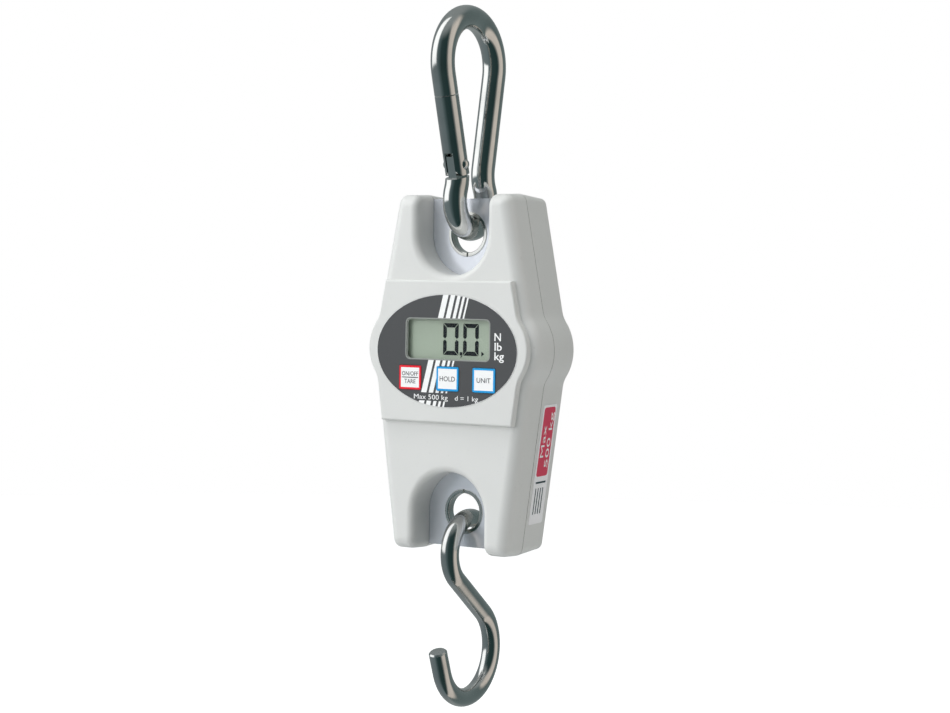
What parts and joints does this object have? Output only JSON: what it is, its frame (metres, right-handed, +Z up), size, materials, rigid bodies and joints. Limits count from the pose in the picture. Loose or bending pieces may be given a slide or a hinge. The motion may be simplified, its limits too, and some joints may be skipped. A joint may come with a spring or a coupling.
{
  "type": "hanging scale",
  "caption": "Digital hanging scale: a waisted two-part plastic housing with an oval keypad and display, a sprung-gate carabiner above and an S-hook below.",
  "frame": {"origin": "inside of the carabiner's crown, where a support bar bears on it", "axes": "+Z up along the hanging load, the display and keys face -Y, +X to the right of a person reading the display"},
  "size_m": [0.0862, 0.0529, 0.2952],
  "materials": {
    "polished_steel": "polished stainless steel, bent bar",
    "gate_steel": "polished stainless steel",
    "rivet_steel": "stainless steel, domed by riveting",
    "spring_steel": "spring steel wire",
    "plate_steel": "polished steel plate",
    "bush_steel": "rolled and chromed strip",
    "gauge_foil": "polyimide foil with a metal grid",
    "casing_plastic": "light warm grey ABS, satin",
    "screw_steel": "zinc-plated steel",
    "keypad_print": "printed polyester, dark grey",
    "clear_window": "clear acrylic",
    "label_print": "printed foil, satin silver and red",
    "display_glass": "reflective liquid crystal cell",
    "frame_plastic": "white moulded plastic",
    "zebra_rubber": "layered conductive rubber",
    "power_key_plastic": "white key with a red border",
    "blue_key_plastic": "white key with a blue border",
    "black_plastic": "moulded black plastic",
    "board_laminate": "glass-epoxy board, green solder mask",
    "chip_plastic": "black moulding compound",
    "ceramic": "ceramic chip parts",
    "crystal_can": "drawn metal can",
    "header_plastic": "natural nylon",
    "cell_jacket": "steel can with a printed jacket",
    "nickel_strip": "nickel-plated steel strip",
    "nickel_wire": "nickel-plated spring wire",
    "red_insulation": "PVC insulated wire",
    "black_insulation": "PVC insulated wire",
    "grey_insulation": "PVC sheathed cable"
  },
  "bodies": {
    "carabiner": {"carabiner_body": "polished_steel"},
    "gate": {"carabiner_gate": "gate_steel", "gate_rivet": "rivet_steel", "gate_latch_pin": "rivet_steel", "gate_spring": "spring_steel"},
    "plunger": {"gate_plunger": "rivet_steel"},
    "hook": {"s_hook": "polished_steel"},
    "power_button": {"power_key": "power_key_plastic", "power_switch_stem": "black_plastic"},
    "hold_button": {"hold_key": "blue_key_plastic", "hold_switch_stem": "black_plastic"},
    "unit_button": {"unit_key": "blue_key_plastic", "unit_switch_stem": "black_plastic"},
    "door": {"battery_door": "casing_plastic"},
    "housing": {"load_cell_plate": "plate_steel", "strain_gauges": "gauge_foil", "upper_bush": "bush_steel", "lower_bush": "bush_steel", "load_cell_screws": "screw_steel", "front_shell": "casing_plastic", "rear_shell": "casing_plastic", "housing_screws": "screw_steel", "keypad_foil": "keypad_print", "display_window": "clear_window", "capacity_label": "label_print", "lcd_glass": "display_glass", "lcd_frame": "frame_plastic", "zebra_strips": "zebra_rubber", "key_switches": "black_plastic", "circuit_board": "board_laminate", "controller_chip": "chip_plastic", "amplifier_chip": "chip_plastic", "board_capacitors": "ceramic", "board_resistors": "chip_plastic", "crystal": "crystal_can", "battery_header": "header_plastic", "load_cell_header": "header_plastic", "board_screws": "screw_steel", "battery_cells": "cell_jacket", "battery_springs": "nickel_wire", "battery_contacts": "nickel_strip", "battery_wire_red": "red_insulation", "battery_wire_black": "black_insulation", "load_cell_cable": "grey_insulation"}
  },
  "joints": [
    {"name": "gate_hinge", "type": "hinge", "parent": "carabiner", "child": "gate", "pos_m": [0, -0.00852, -0.05671], "axis": [-1, 0, 0], "range_deg": [0, 28], "stiffness_Nm_per_rad": 0.1, "springref_deg": -28.65},
    {"name": "plunger_slide", "type": "slide", "parent": "gate", "child": "plunger", "axis": [0, -0.2738, 0.9618], "range_m": [0, 0.0016], "deforming": ["gate_spring"]},
    {"name": "eye_swing", "type": "hinge", "parent": "carabiner", "child": "housing", "pos_m": [0, 0.00327, -0.08531], "axis": [0, 1, 0], "range_deg": [-30, 30]},
    {"name": "hook_swing", "type": "hinge", "parent": "housing", "child": "hook", "pos_m": [0, 0.00327, -0.20211], "axis": [0, 1, 0], "range_deg": [-30, 30]},
    {"name": "door_hinge", "type": "hinge", "parent": "housing", "child": "door", "pos_m": [0, 0.02167, -0.12121], "axis": [1, 0, 0], "range_deg": [0, 60]},
    {"name": "power_press", "type": "slide", "parent": "housing", "child": "power_button", "axis": [0, 1, 0], "range_m": [0, 0.0004], "stiffness_N_per_m": 2000, "springref_m": -0.0002},
    {"name": "hold_press", "type": "slide", "parent": "housing", "child": "hold_button", "axis": [0, 1, 0], "range_m": [0, 0.0004], "stiffness_N_per_m": 2000, "springref_m": -0.0002},
    {"name": "unit_press", "type": "slide", "parent": "housing", "child": "unit_button", "axis": [0, 1, 0], "range_m": [0, 0.0004], "stiffness_N_per_m": 2000, "springref_m": -0.0002}
  ],
  "couplings": [
    {"joint": "plunger_slide", "follows": "gate_hinge", "m_per_rad": 0.0031717}
  ]
}
